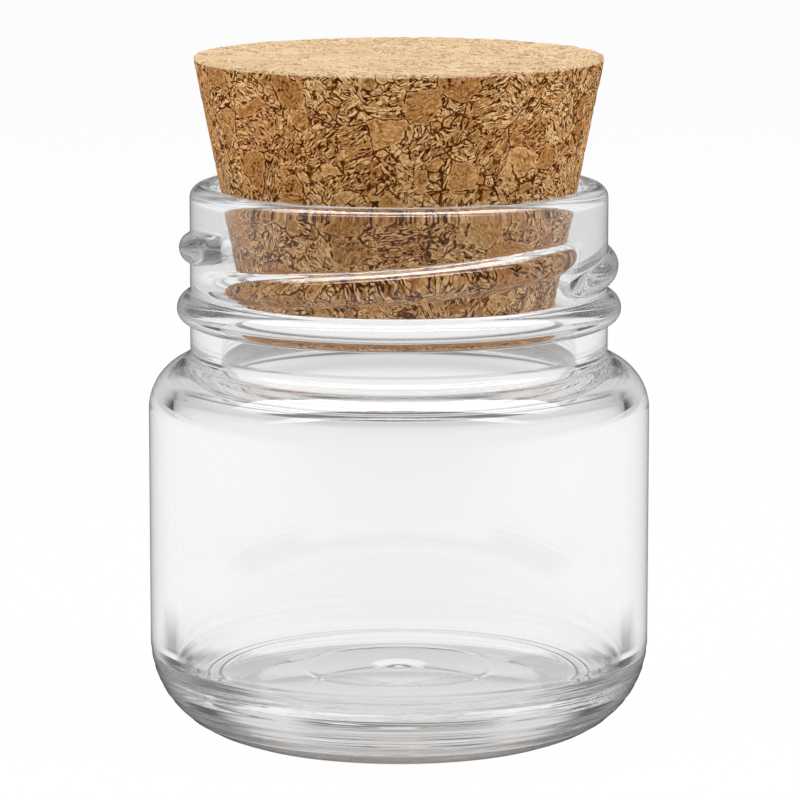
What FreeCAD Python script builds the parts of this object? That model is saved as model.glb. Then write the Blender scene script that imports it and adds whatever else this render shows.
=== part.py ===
"""Glass storage jar with a tapered cork stopper: two pieces, in millimetres, standing on z = 0 round the Z axis.

The neck carries a round bead and raised lugs for a twist-off cap, but the jar is closed by the cork alone.
"""

import FreeCAD, Part
import math
import os
import Sketcher

SIZES = {
    # Outer form of the glass, from the base up
    "neck_radius": 24.95,
    "shoulder_width": 5.05,
    "heel_radius": 11.0,
    "bearing_width": 2.0,
    "push_up": 0.8,
    "body_height": 39.1,
    "shoulder_radius": 6.43,
    "neck_root_round": 1.4,
    "neck_gap": 2.89,
    "bead_radius": 2.0,
    "bead_stand": 1.6,
    "finish_height": 12.77,
    "lip_outer_round": 1.5,
    # Inner form of the glass
    "lip_inner_round": 1.5,
    "neck_wall": 3.66,
    "body_wall": 3.0,
    "bore_root_round": 3.0,
    "inner_heel_radius": 3.6,
    "floor_height": 7.0,
    "floor_crown": 0.6,
    "mark_radius": 3.4,
    "mark_depth": 0.3,
    # Twist-off lugs, angles in degrees about the axis from +X
    "lug_count": 3,
    "lug_stand": 1.35,
    "lug_section_radius": 2.0,
    "lug_root_depth": 1.0,
    "lug_end_depth": 0.1,
    "lug_gap": 2.16,
    "lug_rise": 4.3,
    "lug_start_angle": -162.0,
    "lug_span_angle": 132.0,
    # Cork stopper, its taper as a half angle in degrees
    "cork_stand": 15.4,
    "cork_insertion": 14.0,
    "cork_taper_angle": 11.3,
    "cork_edge_round": 0.3,
    "seat_clearance": 0.1,
}

# Where a lug's cross-sections stand, and over what lengths it rises out of the neck and sinks into it again,
# as shares of its span
LUG_STATION_SHARES = (0.0, 0.1, 0.2, 0.3, 0.42, 0.58, 0.75, 0.87, 0.94, 1.0)
LUG_LEAD_SHARE = 0.38
LUG_TAIL_SHARE = 0.25
LUG_RISE_POWER = 1.4

# Places that follow from the sizes, as expressions in the words of the sheet
BODY_RADIUS = "(Sizes.neck_radius + Sizes.shoulder_width)"
SHOULDER_CENTRE = f"({BODY_RADIUS} - Sizes.shoulder_radius)"
NECK_ROOT_CENTRE = "(Sizes.neck_radius + Sizes.neck_root_round)"
NECK_ROOT_RISE = (
    f"sqrt((Sizes.shoulder_radius + Sizes.neck_root_round)^2 - ({NECK_ROOT_CENTRE} - {SHOULDER_CENTRE})^2)"
)
BEAD_HALF = "sqrt(Sizes.bead_radius^2 - (Sizes.bead_radius - Sizes.bead_stand)^2)"
BEAD_BOTTOM = f"(Sizes.body_height + {NECK_ROOT_RISE} + Sizes.neck_gap)"
BEAD_MIDDLE = f"({BEAD_BOTTOM} + {BEAD_HALF})"
BEAD_TOP = f"({BEAD_MIDDLE} + {BEAD_HALF})"
JAR_HEIGHT = f"({BEAD_TOP} + Sizes.finish_height)"
BORE_RADIUS = "(Sizes.neck_radius - Sizes.neck_wall)"
BORE_ROOT_CENTRE = f"({BORE_RADIUS} + Sizes.bore_root_round)"
INNER_SHOULDER_RADIUS = "(Sizes.shoulder_radius - Sizes.body_wall)"
BORE_ROOT_RISE = (
    f"sqrt(({INNER_SHOULDER_RADIUS} + Sizes.bore_root_round)^2 - ({BORE_ROOT_CENTRE} - {SHOULDER_CENTRE})^2)"
)
INNER_RADIUS = f"({BODY_RADIUS} - Sizes.body_wall)"
FLOOR_RADIUS = f"({INNER_RADIUS} - Sizes.inner_heel_radius)"
FLOOR_DOME_RADIUS = f"(({FLOOR_RADIUS}^2 + Sizes.floor_crown^2) / (2 * Sizes.floor_crown))"
LIP_ROUND_HEIGHT = f"({JAR_HEIGHT} - Sizes.lip_inner_round)"
CORK_TAPER = "tan(Sizes.cork_taper_angle)"
CORK_SEAT_RADIUS = (
    f"({BORE_RADIUS} + Sizes.lip_inner_round"
    " - (Sizes.lip_inner_round + Sizes.seat_clearance) / cos(Sizes.cork_taper_angle))"
)
CORK_HEIGHT = "(Sizes.cork_stand + Sizes.cork_insertion)"
CORK_TOP_RADIUS = f"({CORK_SEAT_RADIUS} + {CORK_TAPER} * (Sizes.cork_stand + Sizes.lip_inner_round))"
CORK_BOTTOM_RADIUS = f"({CORK_TOP_RADIUS} - {CORK_TAPER} * {CORK_HEIGHT})"

# The numbers by which a sketch knows an edge's points and its own axes
START, END, CENTRE = range(1, 4)
RADIUS_AXIS, HEIGHT_AXIS = range(-1, -3, -1)
ORIGIN = (RADIUS_AXIS, START)

doc = FreeCAD.newDocument("jar_with_cork")
sheet = doc.addObject("Spreadsheet::Sheet", "Sizes")
for row, (alias, number) in enumerate(SIZES.items(), start=1):
    sheet.set(f"A{row}", alias)
    sheet.set(f"B{row}", str(number))
    sheet.setAlias(f"B{row}", alias)
doc.recompute()


def value(expression):
    """The number that an expression in the sheet's words stands for."""
    return float(sheet.evalExpression(expression))


class Outline:
    """A sketch in a plane through the axis: x is the radius and y is the height above the body's origin."""

    def __init__(self, body, name):
        self.sketch = body.newObject("Sketcher::SketchObject", name)
        plane = next(item for item in body.Origin.OriginFeatures if item.Role == "XZ_Plane")
        self.sketch.AttachmentSupport = (plane, [""])
        self.sketch.MapMode = "FlatFace"

    def line(self, start, end):
        segment = Part.LineSegment(FreeCAD.Vector(*start, 0), FreeCAD.Vector(*end, 0))
        return self.sketch.addGeometry(segment, False)

    def arc(self, centre, start, end):
        """An arc from start to end, counterclockwise round its centre."""
        radius = math.dist(centre, start)
        circle = Part.Circle(FreeCAD.Vector(*centre, 0), FreeCAD.Vector(0, 0, 1), radius)
        angles = [math.atan2(y - centre[1], x - centre[0]) for x, y in (start, end)]
        return self.sketch.addGeometry(Part.ArcOfCircle(circle, *angles), False)

    def relate(self, kind, *items):
        return self.sketch.addConstraint(Sketcher.Constraint(kind, *items))

    def size(self, expression, kind, *items):
        """A driving size whose value stays bound to the sheet."""
        index = self.relate(kind, *items, value(expression))
        self.sketch.setExpression(f"Constraints[{index}]", expression)

    def radius_at(self, expression, element, point):
        self.size(expression, "DistanceX", *ORIGIN, element, point)

    def height_at(self, expression, element, point):
        self.size(expression, "DistanceY", *ORIGIN, element, point)


def revolve(body, outline, name):
    solid = body.newObject("PartDesign::Revolution", name)
    solid.Profile = outline.sketch
    solid.ReferenceAxis = (outline.sketch, ["V_Axis"])
    outline.sketch.Visibility = False
    return solid


def along(first, second, share):
    """The point at a share of the way from the first point to the second."""
    return tuple(a + (b - a) * share for a, b in zip(first, second))


def jar_wall(body):
    """The turned form of the glass: base, body, shoulder, neck with its bead, lip, bore and floor."""
    outline = Outline(body, "jar_outline")
    body_radius = value(BODY_RADIUS)
    body_height = value("Sizes.body_height")
    neck = value("Sizes.neck_radius")
    bore = value(BORE_RADIUS)
    top = value(JAR_HEIGHT)
    heel = value("Sizes.heel_radius")
    push_up = value("Sizes.push_up")
    inner_heel = value("Sizes.inner_heel_radius")
    inner = value(INNER_RADIUS)
    outer_round = value("Sizes.lip_outer_round")
    inner_round = value("Sizes.lip_inner_round")
    floor_radius = value(FLOOR_RADIUS)
    floor = value("Sizes.floor_height")
    dome = value(FLOOR_DOME_RADIUS)
    mark = value("Sizes.mark_radius")
    mark_depth = value("Sizes.mark_depth")

    # Centres of the arcs
    heel_centre = (body_radius - heel, heel)
    shoulder_centre = (value(SHOULDER_CENTRE), body_height)
    neck_root_centre = (value(NECK_ROOT_CENTRE), body_height + value(NECK_ROOT_RISE))
    bead_centre = (neck + value("Sizes.bead_stand") - value("Sizes.bead_radius"), value(BEAD_MIDDLE))
    outer_lip_centre = (neck - outer_round, top - outer_round)
    inner_lip_centre = (bore + inner_round, top - inner_round)
    bore_root_centre = (value(BORE_ROOT_CENTRE), body_height + value(BORE_ROOT_RISE))
    inner_heel_centre = (floor_radius, floor + inner_heel)
    dome_centre = (0, floor + value("Sizes.floor_crown") - dome)

    # Corners, from the middle of the underside round the outside to the middle of the floor
    bearing_outer = (heel_centre[0], 0)
    bearing_inner = (heel_centre[0] - value("Sizes.bearing_width"), 0)
    underside = (0, push_up)
    underside_radius = (bearing_inner[0] ** 2 + push_up**2) / (2 * push_up)
    heel_top = (body_radius, heel)
    shoulder_foot = (body_radius, body_height)
    shoulder_share = value("Sizes.shoulder_radius / (Sizes.shoulder_radius + Sizes.neck_root_round)")
    shoulder_head = along(shoulder_centre, neck_root_centre, shoulder_share)
    neck_root = (neck, neck_root_centre[1])
    bead_foot = (neck, value(BEAD_BOTTOM))
    bead_head = (neck, value(BEAD_TOP))
    lip_outer_foot = (neck, outer_lip_centre[1])
    lip_outer_head = (outer_lip_centre[0], top)
    lip_inner_head = (inner_lip_centre[0], top)
    lip_inner_foot = (bore, inner_lip_centre[1])
    bore_foot = (bore, bore_root_centre[1])
    inner_share = value(f"{INNER_SHOULDER_RADIUS} / ({INNER_SHOULDER_RADIUS} + Sizes.bore_root_round)")
    inner_shoulder_head = along(shoulder_centre, bore_root_centre, inner_share)
    inner_shoulder_foot = (inner, body_height)
    inner_heel_top = (inner, inner_heel_centre[1])
    floor_edge = (floor_radius, floor)
    mark_edge = (mark, dome_centre[1] + math.sqrt(dome**2 - mark**2))
    mark_middle = (0, mark_edge[1] - mark_depth)
    mark_centre = (0, mark_middle[1] + (mark**2 + mark_depth**2) / (2 * mark_depth))

    push_up_arc = outline.arc((0, push_up - underside_radius), bearing_inner, underside)
    bearing = outline.line(bearing_inner, bearing_outer)
    heel_arc = outline.arc(heel_centre, bearing_outer, heel_top)
    wall = outline.line(heel_top, shoulder_foot)
    shoulder = outline.arc(shoulder_centre, shoulder_foot, shoulder_head)
    neck_root_arc = outline.arc(neck_root_centre, neck_root, shoulder_head)
    lower_neck = outline.line(neck_root, bead_foot)
    bead = outline.arc(bead_centre, bead_foot, bead_head)
    upper_neck = outline.line(bead_head, lip_outer_foot)
    outer_lip = outline.arc(outer_lip_centre, lip_outer_foot, lip_outer_head)
    lip = outline.line(lip_outer_head, lip_inner_head)
    inner_lip = outline.arc(inner_lip_centre, lip_inner_head, lip_inner_foot)
    bore_wall = outline.line(lip_inner_foot, bore_foot)
    bore_root = outline.arc(bore_root_centre, bore_foot, inner_shoulder_head)
    inner_shoulder = outline.arc(shoulder_centre, inner_shoulder_foot, inner_shoulder_head)
    inner_wall = outline.line(inner_shoulder_foot, inner_heel_top)
    inner_heel_arc = outline.arc(inner_heel_centre, floor_edge, inner_heel_top)
    floor_arc = outline.arc(dome_centre, floor_edge, mark_edge)
    mark_arc = outline.arc(mark_centre, mark_middle, mark_edge)
    axis = outline.line(mark_middle, underside)

    for first, first_end, second, second_end in (
        (bearing, END, heel_arc, START),
        (heel_arc, END, wall, START),
        (wall, END, shoulder, START),
        (shoulder, END, neck_root_arc, END),
        (neck_root_arc, START, lower_neck, START),
        (upper_neck, END, outer_lip, START),
        (outer_lip, END, lip, START),
        (lip, END, inner_lip, START),
        (inner_lip, END, bore_wall, START),
        (bore_wall, END, bore_root, START),
        (bore_root, END, inner_shoulder, END),
        (inner_shoulder, START, inner_wall, START),
        (inner_wall, END, inner_heel_arc, END),
    ):
        outline.relate("Tangent", first, first_end, second, second_end)
    for first, first_end, second, second_end in (
        (push_up_arc, START, bearing, START),
        (lower_neck, END, bead, START),
        (bead, END, upper_neck, START),
        (inner_heel_arc, START, floor_arc, START),
        (floor_arc, END, mark_arc, END),
        (mark_arc, START, axis, START),
        (axis, END, push_up_arc, END),
        (shoulder, CENTRE, inner_shoulder, CENTRE),
    ):
        outline.relate("Coincident", first, first_end, second, second_end)
    for upright in (wall, lower_neck, upper_neck, bore_wall, inner_wall):
        outline.relate("Vertical", upright)
    outline.relate("Horizontal", bearing)
    outline.relate("Horizontal", lip)
    outline.relate("PointOnObject", bearing, START, RADIUS_AXIS)
    for element, point in (
        (push_up_arc, CENTRE),
        (push_up_arc, END),
        (floor_arc, CENTRE),
        (mark_arc, CENTRE),
        (mark_arc, START),
    ):
        outline.relate("PointOnObject", element, point, HEIGHT_AXIS)
    outline.relate("Vertical", inner_heel_arc, CENTRE, inner_heel_arc, START)

    outline.height_at("Sizes.push_up", push_up_arc, END)
    outline.size("Sizes.bearing_width", "DistanceX", bearing, START, bearing, END)
    outline.size("Sizes.heel_radius", "Radius", heel_arc)
    outline.radius_at(BODY_RADIUS, wall, END)
    outline.height_at("Sizes.body_height", wall, END)
    outline.size("Sizes.shoulder_radius", "Radius", shoulder)
    outline.size("Sizes.neck_root_round", "Radius", neck_root_arc)
    outline.radius_at("Sizes.neck_radius", lower_neck, END)
    outline.size("Sizes.neck_gap", "DistanceY", lower_neck, START, lower_neck, END)
    outline.size("Sizes.bead_radius", "Radius", bead)
    outline.radius_at("Sizes.neck_radius + Sizes.bead_stand - Sizes.bead_radius", bead, CENTRE)
    outline.radius_at("Sizes.neck_radius", upper_neck, START)
    outline.size("Sizes.lip_outer_round", "Radius", outer_lip)
    outline.height_at(JAR_HEIGHT, lip, END)
    outline.size("Sizes.lip_inner_round", "Radius", inner_lip)
    outline.radius_at(BORE_RADIUS, bore_wall, END)
    outline.size("Sizes.bore_root_round", "Radius", bore_root)
    outline.size(INNER_SHOULDER_RADIUS, "Radius", inner_shoulder)
    outline.size("Sizes.inner_heel_radius", "Radius", inner_heel_arc)
    outline.height_at("Sizes.floor_height", inner_heel_arc, START)
    outline.size(FLOOR_DOME_RADIUS, "Radius", floor_arc)
    outline.radius_at("Sizes.mark_radius", floor_arc, END)
    outline.size("Sizes.mark_depth", "DistanceY", mark_arc, START, mark_arc, END)
    return revolve(body, outline, "jar_form")


def lug_section(body, number, span_share):
    """One cross-section of a lug: a round crest outside the neck, closed by a chord inside the glass."""
    rise_share = span_share**LUG_RISE_POWER
    fade_share = min(span_share / LUG_LEAD_SHARE, (1 - span_share) / LUG_TAIL_SHARE, 1)
    stand_share = 1 - (1 - fade_share) ** 2
    outline = Outline(body, f"lug_section_{number}")
    turn = f"Sizes.lug_start_angle + Sizes.lug_span_angle * {span_share}"
    outline.sketch.setExpression(
        "AttachmentOffset", f"placement(vector(0; 0; 0); rotation(vector(0; 1; 0); {turn}))"
    )
    section_radius = "Sizes.lug_section_radius"
    crest = f"(Sizes.neck_radius - Sizes.lug_end_depth + (Sizes.lug_stand + Sizes.lug_end_depth) * {stand_share})"
    middle = f"({crest} - {section_radius})"
    height = f"({BEAD_TOP} + Sizes.lug_gap + Sizes.lug_rise * {rise_share})"
    chord = "(Sizes.neck_radius - Sizes.lug_root_depth)"
    half = value(f"sqrt({section_radius}^2 - ({chord} - {middle})^2)")
    low = (value(chord), value(height) - half)
    high = (value(chord), value(height) + half)
    crest_arc = outline.arc((value(middle), value(height)), low, high)
    chord_line = outline.line(high, low)
    outline.relate("Coincident", crest_arc, END, chord_line, START)
    outline.relate("Coincident", chord_line, END, crest_arc, START)
    outline.relate("Vertical", chord_line)
    outline.size(section_radius, "Radius", crest_arc)
    outline.radius_at(middle, crest_arc, CENTRE)
    outline.height_at(height, crest_arc, CENTRE)
    outline.radius_at(chord, chord_line, START)
    return outline.sketch


def twist_off_lugs(body, form):
    """Raised lugs that climb round the neck, all alike and evenly spaced."""
    sections = [lug_section(body, number, share) for number, share in enumerate(LUG_STATION_SHARES, start=1)]
    lug = body.newObject("PartDesign::AdditiveLoft", "lug")
    lug.Profile = sections[0]
    lug.Sections = sections[1:]
    pattern = body.newObject("PartDesign::PolarPattern", "lugs")
    pattern.Originals = [lug]
    pattern.Axis = (form.Profile[0], ["V_Axis"])
    pattern.setExpression("Occurrences", "Sizes.lug_count")
    body.Tip = pattern


def glass_jar():
    body = doc.addObject("PartDesign::Body", "glass_jar")
    form = jar_wall(body)
    twist_off_lugs(body, form)
    return body


def cork_stopper():
    """The stopper, drawn from its lower face up and stood where its flank meets the round of the lip."""
    body = doc.addObject("PartDesign::Body", "cork_stopper")
    outline = Outline(body, "cork_outline")
    height = value(CORK_HEIGHT)
    low_middle = (0, 0)
    low_edge = (value(CORK_BOTTOM_RADIUS), 0)
    high_edge = (value(CORK_TOP_RADIUS), height)
    high_middle = (0, height)
    low_face = outline.line(low_middle, low_edge)
    flank = outline.line(low_edge, high_edge)
    high_face = outline.line(high_edge, high_middle)
    axis = outline.line(high_middle, low_middle)
    edges = (low_face, flank, high_face, axis)
    for first, second in zip(edges, edges[1:] + edges[:1]):
        outline.relate("Coincident", first, END, second, START)
    outline.relate("Horizontal", low_face)
    outline.relate("Horizontal", high_face)
    outline.relate("Coincident", low_face, START, *ORIGIN)
    outline.relate("PointOnObject", axis, START, HEIGHT_AXIS)
    outline.radius_at(CORK_BOTTOM_RADIUS, flank, START)
    outline.radius_at(CORK_TOP_RADIUS, flank, END)
    outline.height_at(CORK_HEIGHT, high_face, END)
    form = revolve(body, outline, "cork_form")
    doc.recompute()
    edge_round = body.newObject("PartDesign::Fillet", "cork_edges")
    rims = [f"Edge{number}" for number, edge in enumerate(form.Shape.Edges, start=1) if edge.isClosed()]
    edge_round.Base = (form, rims)
    edge_round.setExpression("Radius", "Sizes.cork_edge_round")
    body.Tip = edge_round
    body.setExpression("Placement.Base.z", f"{JAR_HEIGHT} - Sizes.cork_insertion")
    return body


bodies = [glass_jar(), cork_stopper()]
doc.recompute()
for item in doc.Objects:
    if {"Invalid", "Error"} & set(item.State):
        raise RuntimeError(f"{item.Name} did not rebuild: {item.State}")
for body in bodies:
    if body.Shape.isNull() or not body.Shape.isValid() or len(body.Shape.Solids) != 1:
        raise RuntimeError(f"{body.Label} is not one valid solid")
os.makedirs("parts", exist_ok=True)
for body in bodies:
    body.Shape.exportStep(f"parts/{body.Label}.step")
    box = body.Shape.optimalBoundingBox()
    print(f"{body.Label}: {body.Shape.Volume:.0f} mm3, z {box.ZMin:.2f} to {box.ZMax:.2f}, across {box.XLength:.2f}")
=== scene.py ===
"""Glass jar with a tapered cork stopper: the dressed model round its frame, with a plain studio and a camera.

Lengths are metres, and angles are degrees unless a name says otherwise.
The jar stands on z = 0, and its axis is Z.
"""

import math

import bmesh
import bpy
import numpy as np
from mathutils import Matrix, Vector


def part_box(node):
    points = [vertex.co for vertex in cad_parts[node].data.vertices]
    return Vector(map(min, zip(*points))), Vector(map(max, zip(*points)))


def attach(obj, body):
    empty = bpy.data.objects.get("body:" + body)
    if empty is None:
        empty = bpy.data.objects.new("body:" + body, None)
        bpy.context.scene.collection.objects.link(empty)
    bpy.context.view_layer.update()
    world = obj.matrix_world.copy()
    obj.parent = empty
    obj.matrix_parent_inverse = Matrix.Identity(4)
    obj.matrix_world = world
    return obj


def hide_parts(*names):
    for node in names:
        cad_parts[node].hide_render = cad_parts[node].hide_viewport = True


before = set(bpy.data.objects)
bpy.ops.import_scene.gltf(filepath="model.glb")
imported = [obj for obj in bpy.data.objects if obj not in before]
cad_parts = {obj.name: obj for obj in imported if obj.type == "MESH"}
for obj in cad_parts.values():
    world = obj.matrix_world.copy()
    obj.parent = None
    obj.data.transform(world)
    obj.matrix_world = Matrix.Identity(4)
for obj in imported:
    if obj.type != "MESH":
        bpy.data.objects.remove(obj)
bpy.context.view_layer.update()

_, JAR_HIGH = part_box("glass_jar")
CORK_LOW, CORK_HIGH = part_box("cork_stopper")

# Outer form of the glass
BODY_RADIUS = JAR_HIGH[0]
JAR_HEIGHT = JAR_HIGH[2]
NECK_RADIUS = 0.02495
HEEL_RADIUS = 0.011
BEARING_WIDTH = 0.002
PUSH_UP = 0.0008
BODY_HEIGHT = 0.0391
SHOULDER_RADIUS = 0.00643
NECK_ROOT_ROUND = 0.0014
NECK_GAP = 0.00289
BEAD_RADIUS = 0.002
BEAD_LOW_RADIUS = 0.0016
BEAD_STAND = 0.0016
LIP_OUTER_ROUND = 0.0015

# Inner form of the glass
LIP_INNER_ROUND = 0.0015
NECK_WALL = 0.00366
BODY_WALL = 0.003
BORE_ROOT_ROUND = 0.003
INNER_HEEL_RADIUS = 0.0036
FLOOR_HEIGHT = 0.007
FLOOR_CROWN = 0.0006
MARK_RADIUS = 0.0034
MARK_DEPTH = 0.0003
MARK_RING_SHARE = 0.6
MARK_RISE_SHARE = 0.7

# Twist-off lugs
LUG_COUNT = 3
LUG_STAND = 0.00135
LUG_SECTION_RADIUS = 0.002
LUG_GAP = 0.00216
LUG_RISE = 0.0043
LUG_START_ANGLE = -162.0
LUG_SPAN_ANGLE = 132.0
LUG_RISE_POWER = 1.4
LUG_LEAD_SHARE = 0.38
LUG_TAIL_SHARE = 0.25
ROOT_BLEND = 0.0001

# Rings on the floor, as radius and height, and ripples in the thick glass of the base, as length along the
# outline, lobes round the jar and phase
FLOOR_RINGS = ((0.0220, -0.00004), (0.0209, 0.00003), (0.0113, 0.000025))
FLOOR_RING_WIDTH = 0.0003
RIPPLES = ((0.0007, 3, 0.7), (0.001, 2, 2.1), (0.0014, 5, 4.0), (0.0021, 4, 5.3))
RIPPLE_SWING = 0.3
HEEL_RIPPLE_SLOPE = 0.065
INNER_RIPPLE_SLOPE = 0.09
SHOULDER_RIPPLE_SLOPE = 0.012
RIPPLE_FADE = 0.0012
RIPPLED_FLOOR_WIDTH = 0.0022

# Clear glass, and painted shade on its outside where it is seen edge on, a grey coat that darkens its
# outline: the least tilt of the outside that has it, as a sine, its tint, and how sharply it fades from the
# edge on the heel and above
GLASS_IOR = 1.5
LAMP_LIGHT_PASSED = 0.95
EDGE_SHADE_TILT = 0.12
EDGE_SHADE_TINT = 0.65
HEEL_EDGE_SHADE_SHARPNESS = 2.2
UPPER_EDGE_SHADE_SHARPNESS = 6.0
HEEL_EDGE_SHADE_FROM = 0.7 * HEEL_RADIUS
HEEL_EDGE_SHADE_TO = 1.2 * HEEL_RADIUS

# Resolution of the glass
TURN_STEPS = 184
PROFILE_STEP = 0.00045
NECK_STEP = 0.00018
RIPPLE_STEP = 0.00016

# Cork
CORK_HEIGHT = CORK_HIGH[2] - CORK_LOW[2]
CORK_TOP_RADIUS = CORK_HIGH[0]
CORK_EDGE_ROUND = 0.0003
CORK_FACE_MARGIN = 1.5 * CORK_EDGE_ROUND
# Heights over which the top face takes its paler tones, painted light from above
TOP_PAINTED_LIGHT_FROM = CORK_HIGH[2] - 1.6 * CORK_EDGE_ROUND
TOP_PAINTED_LIGHT_TO = CORK_HIGH[2] - 1.2 * CORK_EDGE_ROUND
CORK_TAPER_ANGLE = 11.3
CORK_SIDE_STEPS = 108
CORK_FACE_STEPS = 120

# Pressed granules of the cork
LARGE_GRANULE = 0.004
SMALL_GRANULE = 0.0016
CRUMBLED_SHARE = 0.48
GRANULE_DRIFT = 0.0014
GRANULE_DRIFT_SIZE = 0.0022
GRANULE_TURN = (0.4, 0.4, 2.4)
SEAM_WIDTH = 0.00014
SEAM_CORE = 0.3 * SEAM_WIDTH
SEAM_BREAK_SIZE = 0.0013
SEAM_BREAK = (0.42, 0.52)
WRINKLE_SIZE = 0.00034
WRINKLE_STRETCH = (0.15, 1.0, 1.0)
WRINKLE_WIDTH = 0.066
WRINKLE_CORE = 0.25 * WRINKLE_WIDTH
CREST_WIDTH = 2 * WRINKLE_WIDTH
WRINKLE_BREAK_SIZE = 0.0007
WRINKLE_BREAK = (0.38, 0.5)
WRINKLED_GRANULES = (0.2, 0.65, 0.22, 1.0)
PIT_SIZE = 0.0007
PIT_CORE = (0.2, 0.45, 1.0, 0.0)
PIT_SHARE = 0.5
PIT_CLUSTER_SIZE = 0.004
PIT_CLUSTER = (0.5, 0.62)
RELIEF_WIDTH = 0.0004
RELIEF_DEPTH = 0.0001
GRANULE_STEP = 0.00004

# Colours of the cork from its darkest marks to its palest streaks
CORK_SIDE_TONES = (
    (0.0, (0.055, 0.013, 0.001, 1)),
    (0.25, (0.16, 0.05, 0.007, 1)),
    (0.5, (0.38, 0.17, 0.047, 1)),
    (0.75, (0.57, 0.31, 0.12, 1)),
    (1.0, (0.78, 0.5, 0.25, 1)),
)
# Paler tones for the top face: painted light from above, added to what the lamps give it
CORK_TOP_PAINTED_LIGHT_TONES = (
    (0.0, (0.39, 0.225, 0.1, 1)),
    (0.5, (0.7, 0.49, 0.285, 1)),
    (1.0, (0.84, 0.64, 0.41, 1)),
)
RUDDY_TINT = (0.75, 0.5, 0.36, 1)
RUDDY_GRANULES = (0.8, 1.0, 0.0, 0.35)

# Place of each kind of mark on the scale of tones
GRANULE_TONE = (0.48, 0.68)
CREST_TONE = 0.5
WRINKLE_TONE = -0.87
SPECK_TONE = 0.8
SPECK_SIZE = 0.00028
# Painted highlight: a pale rim beside every seam, as if the edges of the granules caught the light
SEAM_GLINT_TONE = 0.18
SEAM_GLINT_WIDTH = 2.6 * SEAM_WIDTH
SEAM_TONE = -0.7

# Surface of the cork
CORK_SPECULAR = 0.05
CORK_ROUGHNESS = (0.78, 0.95)
BUMP_STRENGTH = 0.5
BUMP_DEPTH = 0.0002

# Camera, as fitted to the photograph, whose frame is a square
FOCAL_IN_PIXELS = 4788.0
FRAME_PIXELS = 800
SENSOR = 36.0
CAMERA_PLACE = (0.00012, -0.56693, 0.13426)
CAMERA_PITCH = -9.45
CLIP_NEAR = 0.01
CLIP_FAR = 10.0

# Studio, with each lamp as name, place, width and depth, and power. A gleam is a lamp that is seen in the
# gloss of the glass alone
FLOOR_HALF = 3.0
FLOOR_DROP = 0.00015
LAMPS = (
    ("side_left", (-0.7, -0.25, 0.45), (0.5, 0.7), 3.1),
    ("side_right", (0.7, -0.25, 0.45), (0.5, 0.7), 3.1),
    ("overhead", (0, 0.1, 0.9), (0.6, 0.6), 3.0),
)
LAMP_TARGET = (0, 0, 0.05)
LAMP_SPREAD = 180.0
GLEAMS = (
    ("gleam_front", (0, -0.55, 0.75), (6.0, 0.12), 9.0),
    ("gleam_top", (0, -0.05, 0.85), (6.0, 0.45), 44.0),
)
GLEAM_TARGET = (0, 0, 0.06)
GLEAM_SPREAD = 115.0
LIGHT_BOUNCES = 96

# Levels of the paper on the floor as the glass shows it: painted light and shade, with a painted shadow under
# the jar, painted shade beside the jar and before it, and paper that dims far off. Each ramp has its two
# bounds and the levels there. The bounds are ways from the jar's axis, places on the Y axis for FRONT_PAPER,
# and for REAR_PAPER and
# NEAR_FRONT_WIDTH the share of the way from the axis that goes to the rear
PAPER_LEVEL = 0.93
FAR_PAPER = (0.25, 0.5, PAPER_LEVEL, 0.7)
FRONT_PAPER = (-0.3, -0.05)
FRONT_GLOSS_LEVEL = 0.04
FRONT_GLASS_LEVEL = 0.35
PAINTED_SHADOW_UNDER_JAR = (0.026, 0.034, 0.74, 0.0)
PAINTED_SHADE_BESIDE_JAR = (0.055, 0.1, 0.03, PAPER_LEVEL)
REAR_PAPER = (0.35, 0.75, 0.0, 1.0)
NEAR_FRONT_PAPER = (0.036, 0.05, 0.0, 1.0)
NEAR_FRONT_WIDTH = (-0.6, -0.3, PAPER_LEVEL, 0.0)
PAPER_EMISSION_TO_EYE = 0.94
PAPER_EMISSION_IN_GLASS = 0.9

# Levels of the room as the glass shows it, by height of the line of sight and by its share to the rear
PATCH_FOOT = (0.08, 0.11, 0.0, 1.0)
PATCH_HEAD = (0.2, 0.3, 0.73, 0.0)
PATCH_WIDTH = (0.94, 0.98, 0.0, 1.0)
BACKDROP = (0.74, 0.9, 0.0, 0.9)
WALL_LEVEL = 0.04
CEILING = (0.36, 0.66, 0.0, 0.9)
CEILING_BY_REAR = (-0.6, 0.2, 0.2, 1.0)
CEILING_OVERHEAD = (0.75, 0.9, 0.0, 1.0)
ROOM_LIGHT = 0.55


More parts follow.
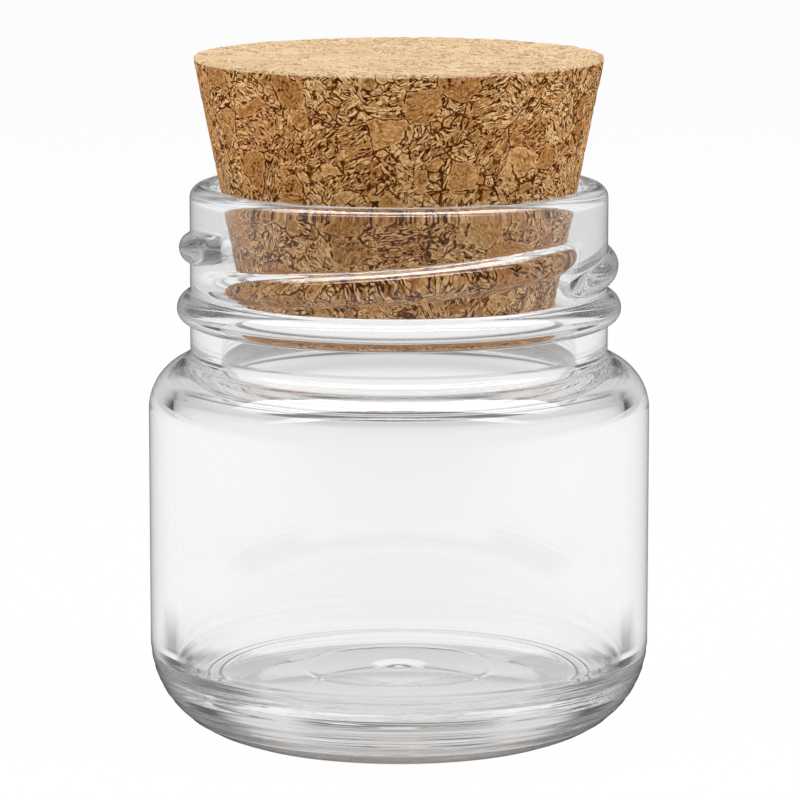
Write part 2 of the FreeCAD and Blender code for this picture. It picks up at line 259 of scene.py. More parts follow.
class Nodes:
    """Adds nodes to one tree. An input is given as a number, a colour or vector, or another node's output."""

    def __init__(self, tree):
        self.tree = tree

    def add(self, kind, inputs=(), output=0, **settings):
        node = self.tree.nodes.new(kind)
        for name, setting in settings.items():
            setattr(node, name, setting)
        for name, given in dict(inputs).items():
            if isinstance(given, bpy.types.NodeSocket):
                self.tree.links.new(given, node.inputs[name])
            else:
                node.inputs[name].default_value = given
        return node.outputs[output] if node.outputs else None

    def math(self, operation, first, second=0.0):
        return self.add("ShaderNodeMath", {0: first, 1: second}, operation=operation)

    def vector(self, operation, first, second):
        return self.add("ShaderNodeVectorMath", {0: first, 1: second}, operation=operation)

    def scaled(self, vector, factor):
        return self.add("ShaderNodeVectorMath", {0: vector, "Scale": factor}, operation="SCALE")

    def part(self, vector, axis):
        return self.add("ShaderNodeSeparateXYZ", {0: vector}, axis)

    def ramp(self, given, low, high, first=0.0, last=1.0):
        """A smooth step from first to last while the given number goes from low to high."""
        inputs = {"Value": given, "From Min": low, "From Max": high, "To Min": first, "To Max": last}
        return self.add("ShaderNodeMapRange", inputs, interpolation_type="SMOOTHSTEP")

    def noise(self, place, size, detail=2.0, output="Fac"):
        return self.add("ShaderNodeTexNoise", {"Vector": place, "Scale": 1 / size, "Detail": detail}, output)

    def cells(self, place, size, output="Color", feature="F1"):
        return self.add("ShaderNodeTexVoronoi", {"Vector": place, "Scale": 1 / size}, output, feature=feature)

    def tones(self, given, stops):
        """The colour for a number from 0 to 1, from stops that each have a place and a colour."""
        shown = self.add("ShaderNodeValToRGB", {"Fac": given})
        elements = shown.node.color_ramp.elements
        while len(elements) < len(stops):
            elements.new(1.0)
        for element, (place, colour) in zip(elements, stops):
            element.position = place
            element.color = colour
        return shown

    def sight(self, kind):
        """1 for a camera, glass or gloss ray that meets no matt surface, and 0 for light on the object."""
        seen = self.add("ShaderNodeLightPath", output=f"Is {kind} Ray")
        clear = self.math("LESS_THAN", self.add("ShaderNodeLightPath", output="Diffuse Depth"), 0.5)
        return self.math("MULTIPLY", seen, clear)

    def mix(self, share, first, second, blend_type="MIX"):
        inputs = {"Fac": share, "Color1": first, "Color2": second}
        return self.add("ShaderNodeMixRGB", inputs, blend_type=blend_type)


def new_material(name):
    """A material with its node helper and its Principled shader."""
    material = bpy.data.materials.new(name)
    material.use_nodes = True
    return material, Nodes(material.node_tree), material.node_tree.nodes["Principled BSDF"]


def smooth_ramp(share):
    share = np.clip(share, 0, 1)
    return share * share * (3 - 2 * share)


def soft_stand(stand, blend):
    """The stand where it is above zero, rounded into zero over twice the blend."""
    bend = (np.clip(stand, -blend, blend) + blend) ** 2 / (4 * blend)
    return np.where(stand > blend, stand, bend)


def arc_points(centre, radius, first_angle, last_angle, step):
    count = max(4, math.ceil(abs(math.radians(last_angle - first_angle)) * radius / step))
    angles = np.radians(np.linspace(first_angle, last_angle, count + 1))
    return np.column_stack([centre[0] + radius * np.cos(angles), centre[1] + radius * np.sin(angles)])


def line_points(start, end, step):
    count = max(2, math.ceil(math.dist(start, end) / step))
    return np.linspace(start, end, count + 1)


def join_runs(runs):
    """One run of points from several that each begin where the one before ends."""
    return np.concatenate([runs[0]] + [run[1:] for run in runs[1:]])


def glass_outline():
    """Points (radius, height) from the middle of the underside round the lip to the middle of the floor.

    The second result names the zone that each point is in.
    """
    shoulder_centre = (BODY_RADIUS - SHOULDER_RADIUS, BODY_HEIGHT)
    root_reach = SHOULDER_RADIUS + NECK_ROOT_ROUND
    root_radius = NECK_RADIUS + NECK_ROOT_ROUND
    root_rise = math.sqrt(root_reach**2 - (root_radius - shoulder_centre[0]) ** 2)
    shoulder_end = math.degrees(math.atan2(root_rise, root_radius - shoulder_centre[0]))
    root_height = BODY_HEIGHT + root_rise
    root_centre = (root_radius, root_height)
    bore = NECK_RADIUS - NECK_WALL
    inner_shoulder = SHOULDER_RADIUS - BODY_WALL
    bore_reach = inner_shoulder + BORE_ROOT_ROUND
    bore_radius = bore + BORE_ROOT_ROUND
    bore_rise = math.sqrt(bore_reach**2 - (bore_radius - shoulder_centre[0]) ** 2)
    inner_end = math.degrees(math.atan2(bore_rise, bore_radius - shoulder_centre[0]))
    bore_height = BODY_HEIGHT + bore_rise
    inner = BODY_RADIUS - BODY_WALL
    floor_radius = inner - INNER_HEEL_RADIUS
    heel_centre = (BODY_RADIUS - HEEL_RADIUS, HEEL_RADIUS)
    inner_heel_centre = (floor_radius, FLOOR_HEIGHT + INNER_HEEL_RADIUS)
    bearing_inner = heel_centre[0] - BEARING_WIDTH
    dome = (floor_radius**2 + FLOOR_CROWN**2) / (2 * FLOOR_CROWN)
    dome_height = FLOOR_HEIGHT + FLOOR_CROWN - dome
    floor_middle = dome_height + math.sqrt(dome**2 - MARK_RADIUS**2)
    lip_foot = JAR_HEIGHT - LIP_OUTER_ROUND
    outer_lip = (NECK_RADIUS - LIP_OUTER_ROUND, lip_foot)
    inner_lip = (bore + LIP_INNER_ROUND, JAR_HEIGHT - LIP_INNER_ROUND)

    under_radii = line_points((0, 0), (bearing_inner, 0), 2 * PROFILE_STEP)[:, 0]
    floor_radii = line_points((floor_radius, 0), (MARK_RADIUS, 0), PROFILE_STEP / 2)[:, 0]
    mark_radii = line_points((MARK_RADIUS, 0), (0, 0), PROFILE_STEP / 2)[:, 0]
    mark_share = mark_radii / MARK_RADIUS
    mark_rise = MARK_RISE_SHARE * smooth_ramp(1 - mark_share / MARK_RING_SHARE)
    mark_drop = MARK_DEPTH * smooth_ramp((1 - mark_share) / (1 - MARK_RING_SHARE)) * (1 - mark_rise)
    runs = [
        ("underside", np.column_stack([under_radii, PUSH_UP * (1 - (under_radii / bearing_inner) ** 2)])),
        ("bearing", line_points((bearing_inner, 0), (heel_centre[0], 0), PROFILE_STEP)),
        ("heel", arc_points(heel_centre, HEEL_RADIUS, -90, 0, RIPPLE_STEP)),
        ("wall", line_points((BODY_RADIUS, HEEL_RADIUS), (BODY_RADIUS, BODY_HEIGHT), 3 * PROFILE_STEP)),
        ("shoulder", arc_points(shoulder_centre, SHOULDER_RADIUS, 0, shoulder_end, PROFILE_STEP / 2)),
        ("root", arc_points(root_centre, NECK_ROOT_ROUND, 180 + shoulder_end, 180, PROFILE_STEP / 2)),
        ("neck", line_points((NECK_RADIUS, root_height), (NECK_RADIUS, lip_foot), NECK_STEP)),
        ("lip", arc_points(outer_lip, LIP_OUTER_ROUND, 0, 90, PROFILE_STEP / 2)),
        ("lip", line_points((outer_lip[0], JAR_HEIGHT), (inner_lip[0], JAR_HEIGHT), PROFILE_STEP)),
        ("lip", arc_points(inner_lip, LIP_INNER_ROUND, 90, 180, PROFILE_STEP / 2)),
        ("bore", line_points((bore, inner_lip[1]), (bore, bore_height), 2 * PROFILE_STEP)),
        ("bore", arc_points((bore_radius, bore_height), BORE_ROOT_ROUND, 180, 180 + inner_end, PROFILE_STEP)),
        ("inside", arc_points(shoulder_centre, inner_shoulder, inner_end, 0, PROFILE_STEP)),
        ("inside", line_points((inner, BODY_HEIGHT), (inner, inner_heel_centre[1]), 3 * PROFILE_STEP)),
        ("inner_heel", arc_points(inner_heel_centre, INNER_HEEL_RADIUS, 0, -90, RIPPLE_STEP)),
        ("floor", np.column_stack([floor_radii, dome_height + np.sqrt(dome**2 - floor_radii**2)])),
        ("mark", np.column_stack([mark_radii, floor_middle - mark_drop])),
    ]
    points = join_runs([run for _, run in runs])
    zones = [runs[0][0]] + [zone for zone, run in runs for _ in run[1:]]
    return points, np.array(zones), root_height


def ripple(along, angles):
    """Height of the ripples at ways along the outline and angles, for a slope of 1 in each of them."""
    height = 0
    for length, lobes, phase in RIPPLES:
        swing = RIPPLE_SWING * np.sin(lobes * np.radians(angles) + phase)
        height = height + length / (2 * math.pi) * np.sin(2 * math.pi * along / length + swing + phase)
    return height


def base_relief(points, zones, angles):
    """How far the base stands out along the outline's normal: ripples, and rings on the floor."""
    steps = np.linalg.norm(np.diff(points, axis=0), axis=1)
    along = np.concatenate([[0], np.cumsum(steps)])
    relief = np.zeros((len(points), len(angles)))
    deepest = sum(length for length, _, _ in RIPPLES) / (2 * math.pi)
    outer = zones == "heel"
    floor = zones == "floor"
    floor_edge = points[floor, 0].max()
    inner = (zones == "inner_heel") | (floor & (points[:, 0] > floor_edge - RIPPLED_FLOOR_WIDTH))
    for zone, slope, lift in (
        (outer, HEEL_RIPPLE_SLOPE, -deepest),
        (zones == "shoulder", SHOULDER_RIPPLE_SLOPE, -deepest),
        (inner, INNER_RIPPLE_SLOPE, 0),
    ):
        way = along[zone][:, None]
        fade = smooth_ramp((way - way[0]) / RIPPLE_FADE) * smooth_ramp((way[-1] - way) / RIPPLE_FADE)
        relief[zone] = slope * fade * (ripple(way, angles) + lift)
    for radius, height in FLOOR_RINGS:
        relief[floor] += height * np.exp(-(((points[floor, 0:1] - radius) / FLOOR_RING_WIDTH) ** 2))
    return relief


def neck_stand(angles, heights, root_height):
    """How far the bead and the lugs stand out of the neck, at angles in degrees and heights."""
    bead_half = math.sqrt(BEAD_RADIUS**2 - (BEAD_RADIUS - BEAD_STAND) ** 2)
    bead_middle = root_height + NECK_GAP + bead_half
    bead_radius = np.where(heights < bead_middle, BEAD_LOW_RADIUS, BEAD_RADIUS)
    bead_reach = np.maximum(bead_radius**2 - (heights - bead_middle) ** 2, 0)
    stand = soft_stand(np.sqrt(bead_reach) - bead_radius + BEAD_STAND, ROOT_BLEND)
    for turn in range(LUG_COUNT):
        start = LUG_START_ANGLE + turn * 360 / LUG_COUNT
        share = np.clip(((angles - start) % 360) / LUG_SPAN_ANGLE, 0, 1)
        fade = np.minimum(np.minimum(share / LUG_LEAD_SHARE, (1 - share) / LUG_TAIL_SHARE), 1)
        stand_share = 1 - (1 - fade) ** 2
        middle = bead_middle + bead_half + LUG_GAP + LUG_RISE * share**LUG_RISE_POWER
        reach = np.maximum(LUG_SECTION_RADIUS**2 - (heights - middle) ** 2, 0)
        lug = np.sqrt(reach) - LUG_SECTION_RADIUS + LUG_STAND * stand_share
        stand = stand + soft_stand(lug, ROOT_BLEND) * stand_share
    return stand


def lathe_mesh(name, grid):
    """A closed mesh from a grid of points (steps along the outline, steps round, 3), its ends on the axis."""
    rows, turns = grid.shape[:2]
    vertices = [grid[0, 0]] + [point for row in grid[1:-1] for point in row] + [grid[-1, 0]]
    faces = []
    last = len(vertices) - 1
    for step in range(turns):
        after = (step + 1) % turns
        faces.append((0, 1 + after, 1 + step))
        for row in range(rows - 3):
            low = 1 + row * turns
            faces.append((low + step, low + after, low + turns + after, low + turns + step))
        low = 1 + (rows - 3) * turns
        faces.append((low + step, low + after, last))
    mesh = bpy.data.meshes.new(name)
    mesh.from_pydata(vertices, [], faces)
    mesh.shade_smooth()
    return mesh


def make_piece(name, mesh, body, node, material):
    piece = bpy.data.objects.new(name, mesh)
    bpy.context.scene.collection.objects.link(piece)
    mesh.materials.append(material)
    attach(piece, body)
    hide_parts(node)
    return piece


def glass_jar():
    points, zones, root_height = glass_outline()
    turns = np.linspace(0, 360, TURN_STEPS, endpoint=False)
    tangents = np.gradient(points, axis=0)
    lengths = np.linalg.norm(tangents, axis=1, keepdims=True)
    normals = np.column_stack([tangents[:, 1], -tangents[:, 0]]) / lengths
    relief = base_relief(points, zones, turns)
    radii = points[:, 0:1] + normals[:, 0:1] * relief
    heights = points[:, 1:2] + normals[:, 1:2] * relief
    on_neck = zones == "neck"
    radii[on_neck] += neck_stand(turns, heights[on_neck], root_height)
    angles = np.radians(turns)
    grid = np.stack([radii * np.cos(angles), radii * np.sin(angles), heights], axis=-1)
    mesh = lathe_mesh("jar_glass", grid)
    return make_piece("jar_glass", mesh, "jar", "glass_jar", glass_material())


def glass_material():
    material, nodes, shader = new_material("clear_glass")
    shader.inputs["Base Color"].default_value = (1.0, 1.0, 1.0, 1)
    shader.inputs["Roughness"].default_value = 0.0
    shader.inputs["IOR"].default_value = GLASS_IOR
    shader.inputs["Transmission Weight"].default_value = 1.0
    links = material.node_tree.links
    # Painted shade at the outline: a coat that bends no light takes some of the light that comes in where the
    # outside is seen edge on
    normal, place, behind = (
        nodes.add("ShaderNodeNewGeometry", output=kind) for kind in ("Normal", "Position", "Backfacing")
    )
    level_place = nodes.vector("MULTIPLY", place, (1, 1, 0))
    from_axis = nodes.add("ShaderNodeVectorMath", {0: level_place}, operation="NORMALIZE")
    outward = nodes.add("ShaderNodeVectorMath", {0: from_axis, 1: normal}, "Value", operation="DOT_PRODUCT")
    outside = nodes.math("GREATER_THAN", nodes.math("SUBTRACT", outward, behind), EDGE_SHADE_TILT)
    sharpness = nodes.ramp(
        nodes.part(place, "Z"), HEEL_EDGE_SHADE_FROM, HEEL_EDGE_SHADE_TO, HEEL_EDGE_SHADE_SHARPNESS, UPPER_EDGE_SHADE_SHARPNESS
    )
    facing_away = nodes.add("ShaderNodeLayerWeight", {"Blend": 0.5}, "Facing")
    edge_on = nodes.math("POWER", facing_away, sharpness)
    links.new(nodes.math("MULTIPLY", edge_on, outside), shader.inputs["Coat Weight"])
    shader.inputs["Coat Roughness"].default_value = 0.0
    shader.inputs["Coat IOR"].default_value = 1.0
    # The coat's grey tint is the colour of the painted shade at the outline
    shader.inputs["Coat Tint"].default_value = (EDGE_SHADE_TINT, EDGE_SHADE_TINT, EDGE_SHADE_TINT, 1)
    # Light from the lamps goes through to the cork and the floor, a little weaker at each surface
    lamp_ray = nodes.add("ShaderNodeLightPath", output="Is Shadow Ray")
    passed_colour = (LAMP_LIGHT_PASSED, LAMP_LIGHT_PASSED, LAMP_LIGHT_PASSED, 1)
    passed = nodes.add("ShaderNodeBsdfTransparent", {"Color": passed_colour})
    shown = nodes.add("ShaderNodeMixShader", {0: lamp_ray, 1: shader.outputs[0], 2: passed})
    links.new(shown, material.node_tree.nodes["Material Output"].inputs["Surface"])
    return material


def flat_place(nodes, place):
    """A place on the flank of the stopper as if it were unrolled, and a place on its faces as it is."""
    across, along, height = (nodes.part(place, axis) for axis in "XYZ")
    angle = nodes.math("ARCTAN2", across, nodes.math("MULTIPLY", along, -1.0))
    level_place = nodes.vector("MULTIPLY", place, (1, 1, 0))
    radius = nodes.add("ShaderNodeVectorMath", {0: level_place}, "Value", operation="LENGTH")
    arc = nodes.math("MULTIPLY", angle, CORK_TOP_RADIUS)
    unrolled = nodes.add("ShaderNodeCombineXYZ", {0: arc, 1: height, 2: radius})
    from_middle = nodes.math("ABSOLUTE", nodes.math("SUBTRACT", height, CORK_LOW[2] + CORK_HEIGHT / 2))
    on_face = nodes.math("GREATER_THAN", from_middle, CORK_HEIGHT / 2 - CORK_FACE_MARGIN)
    on_flank = nodes.math("SUBTRACT", 1.0, on_face)
    return nodes.vector("ADD", nodes.scaled(unrolled, on_flank), nodes.scaled(place, on_face))


def cork_pattern(nodes, place):
    """What pressed cork is like at a place.

    The results are the way to the nearest seam between granules, three kinds of dark mark from 0 to 1 (seams,
    pits and the wrinkles along each granule), the pale rims of the wrinkles, and a random vector for each
    granule.
    """
    drift = nodes.vector("SUBTRACT", nodes.noise(place, GRANULE_DRIFT_SIZE, output="Color"), (0.5, 0.5, 0.5))
    bent = nodes.vector("ADD", place, nodes.scaled(drift, GRANULE_DRIFT))
    large, small = (nodes.cells(bent, size) for size in (LARGE_GRANULE, SMALL_GRANULE))
    crumbled = nodes.math("LESS_THAN", nodes.part(large, "X"), CRUMBLED_SHARE)
    whole = nodes.math("SUBTRACT", 1.0, crumbled)
    granule = nodes.vector("ADD", nodes.scaled(large, whole), nodes.scaled(small, crumbled))
    large_edge, small_edge = (
        nodes.math("MULTIPLY", nodes.cells(bent, size, "Distance", "DISTANCE_TO_EDGE"), size)
        for size in (LARGE_GRANULE, SMALL_GRANULE)
    )
    far_when_whole = nodes.math("MULTIPLY", whole, LARGE_GRANULE)
    edge = nodes.math("MINIMUM", large_edge, nodes.math("ADD", small_edge, far_when_whole))

    open_seam = nodes.ramp(nodes.noise(place, SEAM_BREAK_SIZE), *SEAM_BREAK)
    seam = nodes.math("MULTIPLY", nodes.ramp(edge, SEAM_CORE, SEAM_WIDTH, 1.0, 0.0), open_seam)

    turn = nodes.vector("MULTIPLY", nodes.vector("SUBTRACT", granule, (0.5, 0.5, 0.5)), GRANULE_TURN)
    flat = flat_place(nodes, bent)
    turning = {"Vector": flat, "Rotation": turn}
    turned = nodes.add("ShaderNodeVectorRotate", turning, rotation_type="EULER_XYZ")
    grain = nodes.noise(nodes.vector("MULTIPLY", turned, WRINKLE_STRETCH), WRINKLE_SIZE, detail=1.0)
    beside = nodes.math("ABSOLUTE", nodes.math("SUBTRACT", grain, 0.5))
    wrinkled = nodes.ramp(nodes.part(granule, "Y"), *WRINKLED_GRANULES)
    unbroken = nodes.ramp(nodes.noise(place, WRINKLE_BREAK_SIZE, detail=1.0), *WRINKLE_BREAK)
    drawn = nodes.math("MULTIPLY", unbroken, wrinkled)
    core = nodes.ramp(beside, WRINKLE_CORE, WRINKLE_WIDTH, 1.0, 0.0)
    wrinkle = nodes.math("MULTIPLY", core, drawn)
    crest = nodes.math("MULTIPLY", nodes.ramp(beside, WRINKLE_WIDTH, CREST_WIDTH), drawn)

    clustered = nodes.ramp(nodes.noise(place, PIT_CLUSTER_SIZE), *PIT_CLUSTER)
    pit_core = nodes.ramp(nodes.cells(bent, PIT_SIZE, "Distance"), *PIT_CORE)
    pit_drawn = nodes.math("LESS_THAN", nodes.part(nodes.cells(bent, PIT_SIZE), "X"), PIT_SHARE)
    pit = nodes.math("MULTIPLY", nodes.math("MULTIPLY", pit_core, pit_drawn), clustered)
    return edge, seam, pit, wrinkle, crest, granule


def cork_outline():
    """Points (radius, height) up the flank of the stopper, with the rims of its lower and upper face."""
    low, high = CORK_LOW[2], CORK_HIGH[2]
    taper = math.tan(math.radians(CORK_TAPER_ANGLE))
    low_radius = CORK_TOP_RADIUS - taper * CORK_HEIGHT
    heights = np.linspace(low + CORK_EDGE_ROUND, high - CORK_EDGE_ROUND, CORK_SIDE_STEPS)
    flank = np.column_stack([low_radius + taper * (heights - low), heights])
    low_centre, high_centre = ((flank[end][0] - CORK_EDGE_ROUND, flank[end][1]) for end in (0, -1))
    low_rim = arc_points(low_centre, CORK_EDGE_ROUND, -90, 0, CORK_EDGE_ROUND / 2)
    high_rim = arc_points(high_centre, CORK_EDGE_ROUND, 0, 90, CORK_EDGE_ROUND / 2)
    return join_runs([low_rim, flank, high_rim])


def round_face_points(radius, height):
    """A square grid drawn out to a disc, whose border has evenly spaced points."""
    side = np.linspace(-1, 1, CORK_FACE_STEPS + 1)
    across, along = np.meshgrid(side, side)
    wide = np.abs(across) > np.abs(along)
    longer = np.where(wide, across, along)
    shorter = np.where(wide, along, across)
    quarter = np.radians(45) * np.divide(shorter, longer, out=np.zeros_like(longer), where=longer != 0)
    angle = np.where(wide, quarter, np.radians(90) - quarter)
    reach = radius * longer
    return np.stack([reach * np.cos(angle), reach * np.sin(angle), np.full_like(reach, height)], axis=-1)


def add_grid(mesh, grid, closed):
    """Faces over a grid of points, whose columns join up when it is closed."""
    rows, columns = grid.shape[:2]
    corners = [[mesh.verts.new(point) for point in row] for row in grid]
    for row in range(rows - 1):
        for column in range(columns if closed else columns - 1):
            after = (column + 1) % columns
            low, high = corners[row], corners[row + 1]
            mesh.faces.new((low[column], low[after], high[after], high[column]))


def cork_mesh():
    outline = cork_outline()
    turns = np.radians(np.linspace(0, 360, 4 * CORK_FACE_STEPS, endpoint=False) - 45)
    radii, heights = outline[:, 0:1], outline[:, 1:2] + 0 * turns
    form = bmesh.new()
    add_grid(form, np.stack([radii * np.cos(turns), radii * np.sin(turns), heights], axis=-1), True)
    add_grid(form, round_face_points(*outline[-1]), False)
    add_grid(form, round_face_points(*outline[0])[::-1], False)
    bmesh.ops.remove_doubles(form, verts=form.verts, dist=CORK_EDGE_ROUND / 100)
    mesh = bpy.data.meshes.new("stopper_cork")
    form.to_mesh(mesh)
    form.free()
    mesh.shade_smooth()
    return mesh


def press_relief(piece):
    """Sinks the seams of the cork and lets its granules stand at uneven heights."""
    tree = bpy.data.node_groups.new("cork_relief", "GeometryNodeTree")
    tree.interface.new_socket("Geometry", in_out="INPUT", socket_type="NodeSocketGeometry")
    tree.interface.new_socket("Geometry", in_out="OUTPUT", socket_type="NodeSocketGeometry")
    nodes = Nodes(tree)
    edge, _, pit, _, _, granule = cork_pattern(nodes, nodes.add("GeometryNodeInputPosition"))
    groove = nodes.math("MULTIPLY", nodes.ramp(edge, 0.0, RELIEF_WIDTH, 1.0, 0.0), RELIEF_DEPTH)
    step = nodes.math("MULTIPLY", nodes.part(granule, "Z"), GRANULE_STEP)
    hole = nodes.math("MULTIPLY", pit, RELIEF_DEPTH)
    depth = nodes.math("ADD", nodes.math("MAXIMUM", groove, hole), step)
    offset = nodes.scaled(nodes.add("GeometryNodeInputNormal"), nodes.math("MULTIPLY", depth, -1.0))
    moved = nodes.add("GeometryNodeSetPosition", {"Geometry": nodes.add("NodeGroupInput"), "Offset": offset})
    nodes.add("NodeGroupOutput", {0: moved})
    modifier = piece.modifiers.new("relief", "NODES")
    modifier.node_group = tree
    pressed = bpy.data.meshes.new_from_object(piece.evaluated_get(bpy.context.evaluated_depsgraph_get()))
    piece.modifiers.clear()
    piece.data = pressed
    piece.data.name = piece.name


def cork_stopper():
    piece = make_piece("stopper_cork", cork_mesh(), "stopper", "cork_stopper", cork_material())
    press_relief(piece)
    return piece


def cork_material():
    material, nodes, shader = new_material("cork")
    place = nodes.add("ShaderNodeTexCoord", output="Object")
    edge, seam, pit, wrinkle, crest, granule = cork_pattern(nodes, place)
    speck = nodes.math("SUBTRACT", nodes.noise(place, SPECK_SIZE, detail=1.0), 0.5)
    dark = nodes.math("MAXIMUM", seam, pit)
    # Painted highlight: a pale rim beside every seam
    seam_glint = nodes.ramp(edge, SEAM_WIDTH, SEAM_GLINT_WIDTH, 1.0, 0.0)

    shade = nodes.ramp(nodes.part(granule, "Z"), 0.0, 1.0, *GRANULE_TONE)
    for mark, tone in (
        (crest, CREST_TONE),
        (wrinkle, WRINKLE_TONE),
        (speck, SPECK_TONE),
        (seam_glint, SEAM_GLINT_TONE),
        (dark, SEAM_TONE),
    ):
        shade = nodes.math("ADD", shade, nodes.math("MULTIPLY", mark, tone))

    side = nodes.tones(shade, CORK_SIDE_TONES)
    ruddy = nodes.ramp(nodes.part(granule, "X"), *RUDDY_GRANULES)
    side = nodes.mix(ruddy, side, RUDDY_TINT, "MULTIPLY")
    # Painted light from above: the top face takes the paler tones
    top = nodes.tones(shade, CORK_TOP_PAINTED_LIGHT_TONES)
    painted_top_light = nodes.ramp(nodes.part(place, "Z"), TOP_PAINTED_LIGHT_FROM, TOP_PAINTED_LIGHT_TO)
    colour = nodes.mix(painted_top_light, side, top)
    links = material.node_tree.links
    links.new(colour, shader.inputs["Base Color"])
    shader.inputs["Specular IOR Level"].default_value = CORK_SPECULAR
    links.new(nodes.ramp(dark, 0.0, 1.0, *CORK_ROUGHNESS), shader.inputs["Roughness"])
    bump = nodes.add("ShaderNodeBump", {"Strength": BUMP_STRENGTH, "Distance": BUMP_DEPTH, "Height": shade})
    links.new(bump, shader.inputs["Normal"])
    return material


def camera():
    data = bpy.data.cameras.new("photo_camera")
    data.sensor_width = SENSOR
    data.lens = SENSOR * FOCAL_IN_PIXELS / FRAME_PIXELS
    data.clip_start = CLIP_NEAR
    data.clip_end = CLIP_FAR
    eye = bpy.data.objects.new("photo_camera", data)
    eye.location = CAMERA_PLACE
    eye.rotation_euler = (math.radians(90 + CAMERA_PITCH), 0, 0)
    bpy.context.scene.collection.objects.link(eye)
    bpy.context.scene.camera = eye


def area_lamp(name, place, target, size, power, gleam):
    """A lamp that lights the cork and the floor, or one that is seen in the gloss of the glass alone."""
    data = bpy.data.lights.new(name, "AREA")
    data.shape = "ELLIPSE" if gleam else "RECTANGLE"
    data.size, data.size_y = size
    data.energy = power
    data.spread = math.radians(GLEAM_SPREAD if gleam else LAMP_SPREAD)
    lamp = bpy.data.objects.new(name, data)
    lamp.location = place
    lamp.rotation_euler = (Vector(target) - Vector(place)).to_track_quat("-Z", "Y").to_euler()
    lamp.visible_glossy = gleam
    lamp.visible_diffuse = not gleam
    lamp.visible_transmission = False
    bpy.context.scene.collection.objects.link(lamp)
    return lamp


def studio_floor():
    mesh = bpy.data.meshes.new("floor")
    corners = [(-1, -1), (1, -1), (1, 1), (-1, 1)]
    places = [(FLOOR_HALF * x, FLOOR_HALF * y, -FLOOR_DROP) for x, y in corners]
    mesh.from_pydata(places, [], [(0, 1, 2, 3)])
    floor = bpy.data.objects.new("floor", mesh)
    bpy.context.scene.collection.objects.link(floor)
    material = bpy.data.materials.new("floor")
    material.use_nodes = True
    material.node_tree.nodes.clear()
    nodes = Nodes(material.node_tree)
    paper = nodes.add("ShaderNodeBsdfDiffuse", {"Color": (PAPER_LEVEL, PAPER_LEVEL, PAPER_LEVEL, 1)})
    place = nodes.add("ShaderNodeNewGeometry", output="Position")
    away = nodes.add("ShaderNodeVectorMath", {0: place}, "Value", operation="LENGTH")
    along = nodes.part(place, "Y")
    rear_share = nodes.math("DIVIDE", along, away)
    camera_ray, glass_ray, gloss_ray = (nodes.sight(kind) for kind in ("Camera", "Transmission", "Glossy"))
    # The paper is white to the eye. In the glass it shows painted light and shade: it is greyer far off, has
    # a painted shadow under the jar, and painted shade beside it and well before it
    far_level = nodes.ramp(away, *FAR_PAPER)
    front_start = nodes.ramp(glass_ray, 0.0, 1.0, FRONT_GLOSS_LEVEL, FRONT_GLASS_LEVEL)
    front_level = nodes.ramp(along, *FRONT_PAPER, front_start, PAPER_LEVEL)
    rear_level = nodes.ramp(rear_share, *REAR_PAPER)
    beside_level = nodes.math("MAXIMUM", nodes.ramp(away, *PAINTED_SHADE_BESIDE_JAR), rear_level)
    near_front = nodes.ramp(rear_share, *NEAR_FRONT_WIDTH)
    near_front_level = nodes.math("MINIMUM", nodes.ramp(away, *NEAR_FRONT_PAPER), near_front)
    through_level = nodes.math("SUBTRACT", 1.0, glass_ray)
    for level in (nodes.ramp(away, *PAINTED_SHADOW_UNDER_JAR), beside_level, near_front_level):
        through_level = nodes.math("MAXIMUM", through_level, level)
    glass_level = nodes.math("MINIMUM", nodes.math("MINIMUM", far_level, front_level), through_level)
    white = nodes.add("ShaderNodeEmission", {"Strength": nodes.math("MAXIMUM", camera_ray, glass_level)})
    seen = gloss_ray
    for ray, share in ((camera_ray, PAPER_EMISSION_TO_EYE), (glass_ray, PAPER_EMISSION_IN_GLASS)):
        seen = nodes.math("MAXIMUM", seen, nodes.math("MULTIPLY", ray, share))
    shown = nodes.add("ShaderNodeMixShader", {0: seen, 1: paper, 2: white})
    nodes.add("ShaderNodeOutputMaterial", {"Surface": shown})
    mesh.materials.append(material)


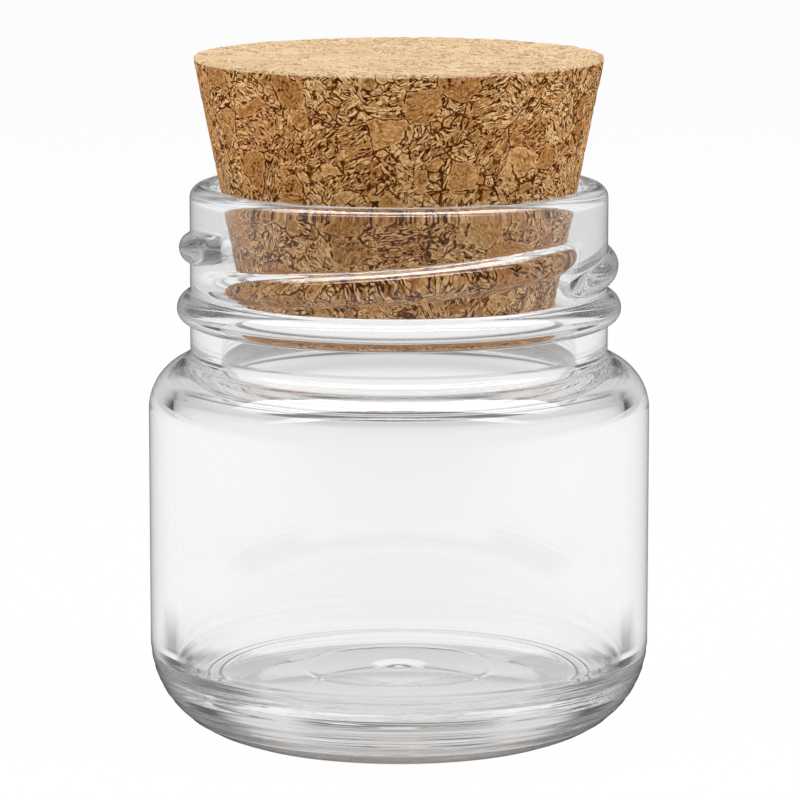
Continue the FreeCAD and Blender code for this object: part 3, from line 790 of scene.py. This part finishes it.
def studio_world():
    world = bpy.data.worlds.new("studio")
    bpy.context.scene.world = world
    world.use_nodes = True
    world.node_tree.nodes.clear()
    nodes = Nodes(world.node_tree)
    way = nodes.add("ShaderNodeTexCoord", output="Generated")
    up = nodes.part(way, "Z")
    level_way = nodes.vector("MULTIPLY", way, (1, 1, 0))
    rear_share = nodes.part(nodes.add("ShaderNodeVectorMath", {0: level_way}, operation="NORMALIZE"), "Y")
    # A bright backdrop with a dark patch in its middle, between dark walls, under a ceiling that is dim at
    # the front
    patch = nodes.math("MULTIPLY", nodes.ramp(up, *PATCH_FOOT), nodes.ramp(up, *PATCH_HEAD))
    patch = nodes.math("MULTIPLY", patch, nodes.ramp(rear_share, *PATCH_WIDTH))
    backdrop = nodes.math("SUBTRACT", nodes.ramp(rear_share, *BACKDROP), patch)
    wall = nodes.math("MAXIMUM", backdrop, WALL_LEVEL)
    ceiling_share = nodes.math(
        "MAXIMUM", nodes.ramp(rear_share, *CEILING_BY_REAR), nodes.ramp(up, *CEILING_OVERHEAD)
    )
    ceiling = nodes.math("MULTIPLY", nodes.ramp(up, *CEILING), ceiling_share)
    seen = nodes.add("ShaderNodeBackground", {"Strength": nodes.math("MAXIMUM", ceiling, wall)})
    lit = nodes.add("ShaderNodeBackground", {"Strength": ROOM_LIGHT})
    shows = nodes.sight("Camera")
    for kind in ("Transmission", "Glossy"):
        shows = nodes.math("MAXIMUM", shows, nodes.sight(kind))
    mixed = nodes.add("ShaderNodeMixShader", {0: shows, 1: lit, 2: seen})
    nodes.add("ShaderNodeOutputWorld", {"Surface": mixed})


def studio():
    studio_floor()
    studio_world()
    for name, place, size, power in LAMPS:
        area_lamp(name, place, LAMP_TARGET, size, power, False)
    for name, place, size, power in GLEAMS:
        area_lamp(name, place, GLEAM_TARGET, size, power, True)
    scene = bpy.context.scene
    scene.view_settings.view_transform = "Standard"
    scene.cycles.max_bounces = LIGHT_BOUNCES
    scene.cycles.transmission_bounces = LIGHT_BOUNCES
    scene.cycles.glossy_bounces = LIGHT_BOUNCES


camera()
glass_jar()
cork_stopper()
studio()
